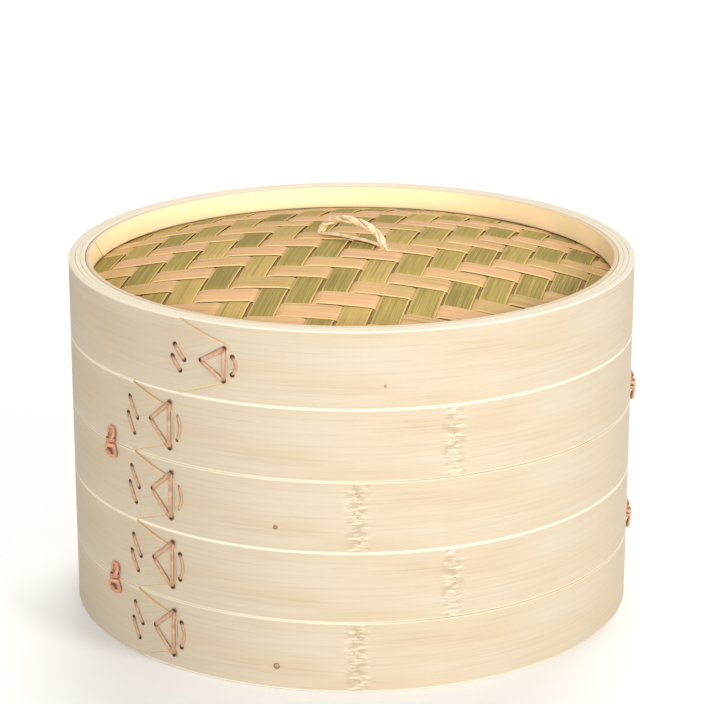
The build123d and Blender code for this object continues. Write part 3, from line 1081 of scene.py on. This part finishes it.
@dataclass
class Lacing(NodePiece):
    """The cane that ties a hoop's flap down, through punched holes."""

    ending = "cane"
    slot = "lacing_cane"
    finishes = (Finish.LACING, Finish.HOLE)
    hoop: Hoop
    low: float = 6.2 * MM
    high: float = 26.1 * MM
    proud: float = 0.45 * MM
    sunk: float = 0.9 * MM
    wide: float = 1.95 * MM
    thin: float = 0.95 * MM
    hole_size: float = 1.25 * MM
    hole_rise: float = 0.1 * MM

    def hole(self, shift: float, share: float) -> Place:
        """A hole's azimuth, by its shift from the flap's tip, and its z, by its share of the height."""
        base = levels(self.hoop.node)[0]
        return self.hoop.flap_azimuth + shift, base + self.low + share * (self.high - self.low)

    def stitch(self, first: Place, second: Place, width: float, thickness: float, bow: float = 0.0) -> Grid:
        """A strand between two holes: it follows the wall, stands proud of it and dips into the holes.

        Args:
            first: the azimuth and z of the first hole.
            second: those of the second.
            width: the strand's width.
            thickness: its thickness.
            bow: how far its middle swings sideways, as growing azimuth in degrees.
        Returns:
            The grid.
        """
        share = np.linspace(0, 1, 36)
        swing = bow * np.sin(np.pi * share)
        azimuth = first[0] + (second[0] - first[0]) * share + swing
        height = first[1] + (second[1] - first[1]) * share
        off = -self.sunk + (self.sunk + self.proud) * (1 - np.abs(2 * share - 1) ** 7) ** 0.5
        middle_radius = self.hoop.surface_radius((first[0] + second[0]) / 2)
        path = around(azimuth, middle_radius + off, height)
        outward = unit(around(azimuth, 1.0, 0 * height))
        heading = path[-1] - path[0]
        side = np.cross(outward, np.broadcast_to(heading, path.shape))
        return strand(path, unit(side), flat_oval(width, thickness))

    def grids(self) -> list[Grid]:
        """The triangle, the loop beside it, two slanted stitches, and the holes.

        Returns:
            A grid for each stitch and each hole.
        """
        upper, side, lower = self.hole(-0.6, 1.0), self.hole(-5.5, 0.54), self.hole(-0.8, 0.0)
        loop = self.hole(1.0, 0.76), self.hole(0.9, 0.2)
        slanted = [
            (self.hole(-11.4, 0.88), self.hole(-9.3, 0.46)),
            (self.hole(-12.0, 0.5), self.hole(-10.3, 0.1)),
        ]
        made = [
            self.stitch(upper, side, self.wide, self.thin),
            self.stitch(side, lower, self.wide * 0.95, self.thin),
            self.stitch(lower, upper, self.wide * 0.9, self.thin * 1.1),
            self.stitch(*loop, 1.25 * MM, self.thin, bow=0.75),
        ]
        made += [self.stitch(*pair, 1.6 * MM, self.thin) for pair in slanted]
        holes = [upper, side, lower, *loop, *[hole for pair in slanted for hole in pair]]
        # Each hole is a low disc painted with the hole's shade.
        for azimuth, height in holes:
            wall = float(self.hoop.surface_radius(azimuth))
            made.append(spot(azimuth, wall, height, self.hole_size, self.hole_rise, 1))
        return made


@dataclass
class SideKnots(NodePiece):
    """The knots that tie a basket's hoops together: a figure of eight over the seam, bound at its waist."""

    ending = "cane"
    slot = "knot_cane"
    finishes = (Finish.KNOT,)
    seam: float
    azimuths: tuple[float, ...] = (-54.0, 92.0)
    radius: float = 125.1 * MM
    half_height: float = 6.3 * MM
    half_width: float = 2.9 * MM

    def on_wall(self, azimuth: float, sideways: np.ndarray, up: np.ndarray, off: np.ndarray) -> np.ndarray:
        """Points near a knot.

        Args:
            azimuth: the knot's.
            sideways: the distances around the wall from the knot's middle.
            up: those upwards.
            off: those off the wall.
        Returns:
            The points.
        """
        return around(azimuth + np.degrees(sideways / self.radius), self.radius + off, self.seam + up)

    def knot(self, azimuth: float) -> list[Grid]:
        """One knot: a figure of eight, x = sin 2t and y = sin t, a helix round its waist, and two tails.

        Args:
            azimuth: where it is.
        Returns:
            Its four strands.
        """
        turn = np.linspace(0, 2 * np.pi, 97)[:-1]
        eight = self.on_wall(azimuth, self.half_width * np.sin(2 * turn) * (1 - 0.1 * np.sin(turn)),
                             self.half_height * np.sin(turn),
                             1.35 * MM + 0.75 * MM * np.cos(turn + 0.5) + 0.35 * MM * np.cos(2 * turn))
        winding = np.linspace(-0.35 * np.pi, 3.35 * np.pi, 90)
        waist = self.on_wall(azimuth, 2.3 * MM * np.cos(winding),
                             (winding / np.pi - 1.5) * 1.15 * MM + 0.5 * MM * np.cos(winding),
                             1.3 * MM + 1.55 * MM * np.sin(winding))
        outward = around(np.array([azimuth]), 1.0, np.zeros(1))
        along = np.cross(outward, [0, 0, 1.0])
        tails = []
        share = np.linspace(0, 1, 24)
        for direction in (-1, 1):
            tail = self.on_wall(azimuth, direction * (0.4 + 1.5 * share) * MM,
                                direction * (3.2 + 4.6 * share) * MM, (2.1 - 3.2 * share ** 2) * MM)
            tails.append(strand(tail, along, flat_oval(2.0 * MM, 1.1 * MM)))
        return [
            strand(eight, outward, flat_oval(1.2 * MM, 1.75 * MM), closed=True),
            strand(waist, np.array([0, 0, 1.0]), flat_oval(1.7 * MM, 1.1 * MM)),
            *tails,
        ]

    def grids(self) -> list[Grid]:
        """The strands of all the knots."""
        return [grid for azimuth in self.azimuths for grid in self.knot(azimuth)]


@dataclass
class Pegs(NodePiece):
    """Round pegs through a hoop's wall: a disc painted with the gap's shade, and the peg's rounded end just
    proud of it.
    """

    ending = "round"
    slot = "peg_bamboo"
    finishes = (Finish.PEG, Finish.HOLE)
    hoop: Hoop
    azimuths: tuple[float, ...]
    height: float = 10.0 * MM
    radius: float = 1.15 * MM
    gap: float = 0.35 * MM
    gap_rise: float = 0.06 * MM
    peg_rise: float = 0.2 * MM

    def grids(self) -> list[Grid]:
        """A gap and an end for each peg.

        Returns:
            Two grids for each peg.
        """
        z = levels(self.hoop.node)[0] + self.height
        made = []
        for azimuth in self.azimuths:
            wall = float(self.hoop.surface_radius(azimuth))
            # The gap round the peg: a low disc painted with the gap's shade.
            made.append(spot(azimuth, wall, z, self.radius + self.gap, self.gap_rise, 1))
            made.append(spot(azimuth, wall, z, self.radius, self.peg_rise, 0))
        return made


# ---------------------------------------------------------------- the lid


@dataclass
class Weave:
    """A domed sheet of strips in two directions, over two and under two, one strip further on in each row.

    The strips' middle surface is part of a sphere. A strip's height is the weave's lift where it passes
    over, minus the lift where it passes under, and a smooth step between them.
    """

    node: str
    body: str
    slot: str
    names: tuple[str, str]
    finishes: tuple[Finish, Finish]
    edge_radius: float
    sphere_radius: float
    pitch: float = 13.0 * MM
    width: float = 11.6 * MM
    thickness: float = 0.5 * MM
    lift: float = 0.5 * MM
    crown: float = 0.14 * MM
    direction: float = 78.0
    count: int = 18
    row_length: float = 1.6 * MM
    seed: int = 7

    @staticmethod
    def passes_over(strip: int, crossings: np.ndarray, second: bool) -> np.ndarray:
        """Which way a strip passes at its crossings.

        Args:
            strip: the strip's number.
            crossings: the numbers of the strips that it crosses.
            second: whether it runs in the second direction.
        Returns:
            1 where it passes over and -1 where it passes under.
        """
        step = (crossings - strip) if second else (strip - crossings)
        over = (step % 4) < 2
        return np.where(over != second, 1.0, -1.0)

    def strip(self, number: int, second: bool, top: float, draw: np.random.Generator) -> Grid:
        """One strip: a thin eased box, crowned across, that follows the dome and the weave's heights.

        Args:
            number: the strip's number, from one side of the dome to the other.
            second: whether it runs in the second direction.
            top: z of the dome's middle surface at its apex.
            draw: the source of its small irregularities.
        Returns:
            The grid.
        """
        first = -(self.count // 2)
        place = (number + first + 0.5) * self.pitch + draw.uniform(-0.25, 0.25) * MM
        half = self.width / 2 + draw.uniform(-0.25, 0.2) * MM
        slope = np.tan(radians(draw.uniform(-0.25, 0.25)))
        rows = max(int(2 * np.sqrt(self.edge_radius ** 2 - (abs(place) - half) ** 2) / self.row_length), 8)
        flat = np.zeros(rows)
        outline = eased_box(0.42 * self.thickness, 1, 6)
        across, up = outline.place((flat + place - half, flat - self.thickness / 2),
                                   (flat + place + half, flat + self.thickness / 2))
        from_middle = (across - place) / half
        reach = np.sqrt(np.maximum(self.edge_radius ** 2 - across ** 2, (6 * MM) ** 2))
        lengthwise = np.linspace(-1, 1, rows)[:, None] * reach
        where = lengthwise / self.pitch - 0.5 - first
        before = np.floor(where)
        share = smooth_step(where - before, 0.32, 0.68)
        height = (self.passes_over(number, before, second) * (1 - share)
                  + self.passes_over(number, before + 1, second) * share)
        across = across + slope * lengthwise
        up = up + self.crown * (1 - from_middle ** 2) + height * self.lift
        u, v = (lengthwise, across) if second else (across, lengthwise)
        turn = radians(self.direction - 90)
        x, y = np.cos(turn) * u - np.sin(turn) * v, np.sin(turn) * u + np.cos(turn) * v
        drop = self.sphere_radius - np.sqrt(self.sphere_radius ** 2 - x ** 2 - y ** 2)
        marks = {
            "tone": np.full(across.shape, draw.uniform(0, 1)),
            "edge": half - np.abs(from_middle) * half,
            "lift": (height + 1) / 2,
        }
        along = lengthwise.mean(axis=1)
        return Grid(np.stack([x, y, top - drop + up], axis=-1), strip_uv(along, across, up), marks=marks)

    def build(self) -> None:
        """Make the two sets of strips. The first one stands for the CAD node."""
        top = levels(self.node)[1] - self.lift - self.thickness / 2 - self.crown
        draw = np.random.default_rng(self.seed)
        for second, (name, finish) in enumerate(zip(self.names, self.finishes)):
            grids = [self.strip(number, bool(second), top, draw) for number in range(self.count)]
            piece = Piece(name, grids, [finish.made])
            piece.stands_for(self.body, self.slot, *([] if second else [self.node]))


@dataclass
class HandleLoop(NodePiece):
    """The cane loop on the dome: two strands twisted into an arch, a flat tie below it, two split tips."""

    ending = "cane"
    slot = "handle_cane"
    finishes = (Finish.HANDLE,)
    direction: float = -42.0
    half_span: float = 18.5 * MM
    strand_offset: float = 0.85 * MM
    twists: float = 2.25
    foot_rise: float = 0.5 * MM
    arch_drop: float = 2.0 * MM
    strand_size: Place = (2.8 * MM, 1.6 * MM)
    tie_size: Place = (2.4 * MM, 1.2 * MM)
    tip_size: Place = (2.7 * MM, 1.0 * MM)

    def in_plane(self, along: np.ndarray, up: np.ndarray, aside: Any = 0.0) -> np.ndarray:
        """Points near the loop.

        Args:
            along: the distances along the loop's direction.
            up: z.
            aside: the distances square to the loop's plane.
        Returns:
            The points.
        """
        turn = radians(self.direction)
        x = along * np.cos(turn) - aside * np.sin(turn)
        y = along * np.sin(turn) + aside * np.cos(turn)
        return np.stack(np.broadcast_arrays(x, y, up), axis=-1)

    def grids(self) -> list[Grid]:
        """The arch is nearly half an ellipse. Each strand winds round it, cos along its normal and sin aside.

        Returns:
            The two strands, the tie and the two tips.
        """
        low, high = levels(self.node)
        square = self.in_plane(np.zeros(1), np.zeros(1), 1.0)
        share = np.linspace(0, 1, 110)
        angle = np.pi * share
        foot, rise = low + self.foot_rise, high - low - self.foot_rise - self.arch_drop
        middle = self.in_plane(-self.half_span * np.cos(angle), foot + rise * np.sin(angle) ** 0.85)
        tangent = unit(np.gradient(middle, axis=0))
        normal = np.cross(np.broadcast_to(square, tangent.shape), tangent)
        made = []
        for start in (0.0, np.pi):
            wind = (2 * np.pi * self.twists * share + start)[:, None]
            path = middle + self.strand_offset * (np.cos(wind) * normal + np.sin(wind) * square)
            made.append(strand(path, square, flat_oval(*self.strand_size), twist=np.degrees(-wind[:, 0])))
        reach = np.linspace(-1, 1, 60)
        tie = self.in_plane(reach * (self.half_span + 0.8 * MM), low + (2.7 - 1.5 * np.abs(reach) ** 3) * MM,
                            0.5 * MM * np.sin(2.2 * reach))
        made.append(strand(tie, square, flat_oval(*self.tie_size), twist=12 * reach))
        tip_share = np.linspace(0, 1, 22)
        for end, lean in ((-1, 0.5), (1, -0.6)):
            tip = self.in_plane(end * (self.half_span - 0.6 * MM + 4.6 * MM * tip_share),
                                low + (3.6 - 3.3 * tip_share ** 1.4) * MM, lean * 2.0 * MM * tip_share)
            made.append(strand(tip, square, flat_oval(*self.tip_size),
                               width=np.maximum(1 - tip_share ** 2.2, 0.06)))
        return made


# ---------------------------------------------------------------- assemblies


@dataclass
class Basket:
    """One basket of the stack."""

    side: str
    seed: int
    flap_azimuth: float = -36.3
    socket_radius: float = 118.0 * MM
    top_inner: float = 117.5 * MM
    collar_inner: float = 115.0 * MM
    collar_outer: float = 117.4 * MM
    collar_seam: float = 57.0
    bottom_knuckles: tuple[float, ...] = (1.0, 169.0, -112.0)
    top_knuckles: tuple[float, ...] = (19.5, 196.0, -88.0)
    collar_knuckles: tuple[float, ...] = (-17.0, 141.0)
    pegs: tuple[float, ...] = (-14.6, 105.4, 225.4)

    @property
    def body(self) -> str:
        """The body that the basket's pieces ride on."""
        return f"{self.side}_basket"

    def build(self) -> None:
        """Make the hoops, the collar, the floor, the lacing, the knots and the pegs."""
        joint = levels(f"{self.side}_top_hoop")[0]
        bottom = Hoop(f"{self.side}_bottom_hoop", self.body, self.socket_radius, self.flap_azimuth,
                      self.bottom_knuckles, self.seed, joint)
        top = Hoop(f"{self.side}_top_hoop", self.body, self.top_inner, self.flap_azimuth,
                   self.top_knuckles, self.seed + 1, joint)
        for hoop, layer in ((bottom, "bottom"), (top, "top")):
            hoop.build()
            Lacing(f"{self.side}_{layer}_lacing", self.body, hoop).build()
        BentRing(f"{self.side}_collar_ring", self.body, self.collar_inner, self.collar_outer,
                 self.collar_seam, self.collar_knuckles, self.seed + 2).build()
        SlatFloor(self.side, self.body).build()
        SideKnots(f"{self.side}_side_knots", self.body, joint).build()
        Pegs(f"{self.side}_hoop_pegs", self.body, bottom, self.pegs).build()


@dataclass
class Lid:
    """The lid."""

    seed: int
    flap_azimuth: float = -23.8
    body: str = "lid"
    inner_radius: float = 118.0 * MM
    clamp_inner: float = 115.8 * MM
    clamp_outer: float = 117.9 * MM
    dome_edge: float = 117.3 * MM
    lining_edge: float = 117.0 * MM
    dome_sphere: float = 450.6 * MM
    hoop_knuckles: tuple[float, ...] = (118.0, -141.0)
    clamp_knuckles: tuple[float, ...] = (40.0, -150.0)
    pegs: tuple[float, ...] = (6.2, 126.2, 246.2)

    def build(self) -> None:
        """Make the hoop, the clamp rings, the weave and its lining, the handle, the lacing and the pegs."""
        hoop = Hoop("lid_hoop", self.body, self.inner_radius, self.flap_azimuth, self.hoop_knuckles,
                    self.seed, top_cut=8.6 * MM)
        hoop.build()
        Lacing("lid_lacing", self.body, hoop, low=9.0 * MM, high=22.6 * MM).build()
        Pegs("lid_pegs", self.body, hoop, self.pegs, radius=0.7 * MM).build()
        for node, seam in (("lid_upper_clamp_ring", -96.0), ("lid_lower_clamp_ring", 84.0)):
            BentRing(node, self.body, self.clamp_inner, self.clamp_outer, seam, self.clamp_knuckles,
                     self.seed + 3).build()
        Weave("lid_woven_dome", self.body, "woven_bamboo", ("lid_weave_olive_strips", "lid_weave_tan_strips"),
              (Finish.OLIVE, Finish.TAN), self.dome_edge, self.dome_sphere).build()
        Weave("lid_dome_lining", self.body, "lining_bamboo",
              ("lid_lining_first_strips", "lid_lining_second_strips"), (Finish.LINING, Finish.LINING),
              self.lining_edge, self.dome_sphere, thickness=0.3 * MM, lift=0.24 * MM, crown=0.02 * MM,
              row_length=2.6 * MM, seed=19).build()
        HandleLoop("lid_handle", self.body).build()


@dataclass(frozen=True)
class Lamp:
    """A soft square lamp that faces a point on the steamer's axis."""

    name: str
    place: tuple[float, float, float]
    size: float
    power: float
    colour: Colour
    aim_height: float = 0.1

    def build(self) -> None:
        """Hang the lamp."""
        data = bpy.data.lights.new(self.name, "AREA")
        data.energy, data.size, data.color = self.power, self.size, self.colour
        lamp = bpy.data.objects.new(self.name, data)
        lamp.location = self.place
        aim = np.array([0, 0, self.aim_height]) - np.array(self.place)
        flat = float(np.hypot(aim[0], aim[1]))
        lamp.rotation_euler = (float(np.arctan2(flat, -aim[2])), 0.0, float(np.arctan2(-aim[0], aim[1])))
        bpy.context.scene.collection.objects.link(lamp)


@dataclass
class Studio:
    """The pale floor, the soft light and the camera."""

    floor_size: float = 12.0
    floor_drop: float = 0.3 * MM
    surround: float = 0.4
    floor_colour: Colour = (0.93, 0.93, 0.92)
    camera_place: tuple[float, float, float] = (0.0, -1.125, 0.464)
    camera_pitch: float = 17.5
    lens: float = 134.2
    lamps: tuple[Lamp, ...] = (
        Lamp("key_lamp", (3.7, -2.9, 1.25), 1.6, 190.0, (1.0, 0.985, 0.955)),
        Lamp("left_lamp", (-3.6, -3.0, 1.2), 1.6, 62.0, (1.0, 0.985, 0.97)),
        Lamp("front_lamp", (-0.2, -4.6, 1.2), 1.2, 142.0, (1.0, 0.975, 0.94)),
        Lamp("back_lamp", (0.4, 3.0, 4.4), 2.6, 170.0, (1.0, 0.995, 0.985)),
    )

    def floor(self) -> None:
        """A plain level sheet of pale, slightly mottled paper."""
        half = self.floor_size / 2
        mesh = bpy.data.meshes.new("studio_floor")
        corners = [(x * half, y * half, -self.floor_drop) for x, y in ((-1, -1), (1, -1), (1, 1), (-1, 1))]
        mesh.from_pydata(corners, [], [(0, 1, 2, 3)])
        bench = Bench("studio_paper")
        x, y, _ = bench.object_place()
        mottle = bench.noise(x * 3, y * 3, detail=2.0)
        darker = tuple(0.985 * part for part in self.floor_colour)
        mesh.materials.append(bench.finish(bench.mix(mottle, self.floor_colour, darker), 0.9, None, 0.0, 0.1))
        floor = bpy.data.objects.new("studio_floor", mesh)
        bpy.context.scene.collection.objects.link(floor)

    def sky(self) -> None:
        """An even white surround."""
        world = bpy.data.worlds.new("studio_surround")
        world.use_nodes = True
        back = world.node_tree.nodes["Background"]
        back.inputs[0].default_value = (1.0, 1.0, 1.0, 1.0)
        back.inputs[1].default_value = self.surround
        bpy.context.scene.world = world
        bpy.context.scene.view_settings.view_transform = "Standard"

    def camera(self) -> None:
        """The camera, level from side to side and pitched down."""
        data = bpy.data.cameras.new("studio_camera")
        data.lens, data.sensor_width, data.clip_end = self.lens, 36.0, 50.0
        camera = bpy.data.objects.new("studio_camera", data)
        camera.location = self.camera_place
        camera.rotation_euler = (radians(90 - self.camera_pitch), 0.0, 0.0)
        bpy.context.scene.collection.objects.link(camera)
        bpy.context.scene.camera = camera

    def build(self) -> None:
        """Set up the studio."""
        self.camera()
        self.floor()
        self.sky()
        for lamp in self.lamps:
            lamp.build()


def main() -> None:
    """Build the steamer and its studio."""
    logging.basicConfig(level=logging.INFO, format="%(name)s %(message)s")
    Studio().build()
    Basket("lower", seed=3).build()
    Basket("upper", seed=13).build()
    Lid(seed=23).build()


if __name__ == "__main__":
    main()
